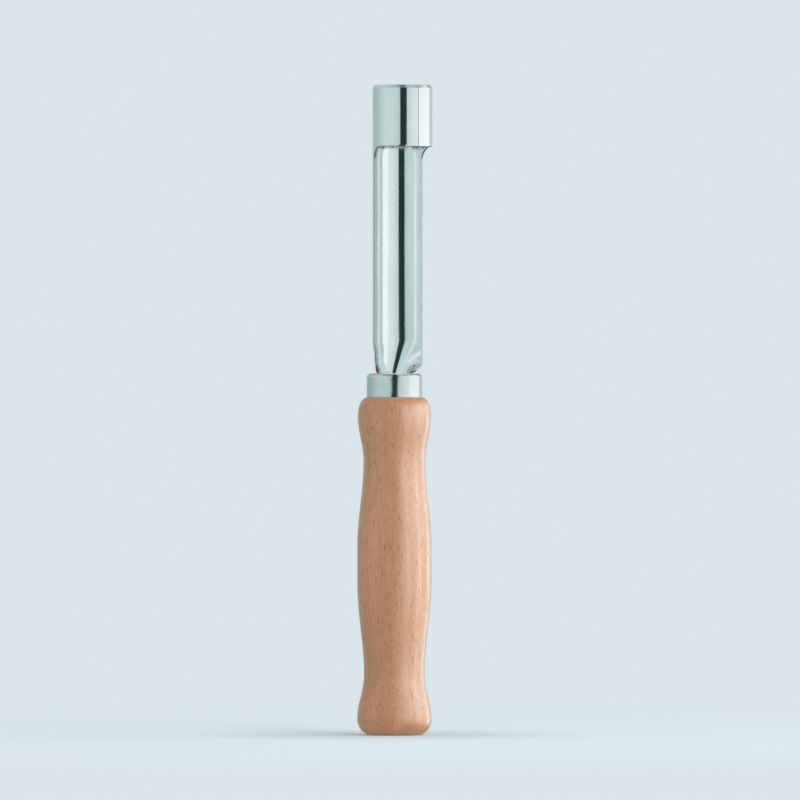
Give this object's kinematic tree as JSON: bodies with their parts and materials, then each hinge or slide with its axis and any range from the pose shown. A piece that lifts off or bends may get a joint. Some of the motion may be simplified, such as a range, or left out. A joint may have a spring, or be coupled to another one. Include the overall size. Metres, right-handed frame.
{
  "type": "apple corer",
  "caption": "Hand corer for apples: a rolled steel blade with a closed cutting ring and an open gutter, a steel ferrule and a turned wooden handle.",
  "frame": {"origin": "centre of the flat butt of the handle, on the handle's axis", "axes": "+Z along the handle's axis from the butt to the cutting ring, -Y the side on which the gutter is open"},
  "size_m": [0.0243, 0.025, 0.21],
  "materials": {
    "blade_steel": "polished stainless sheet, faint marks along the blade",
    "ferrule_steel": "polished drawn cap",
    "beech": "turned beech, satin varnish, grain along the handle"
  },
  "bodies": {
    "root": {"blade": "blade_steel", "ferrule": "ferrule_steel", "handle": "beech"}
  },
  "joints": []
}
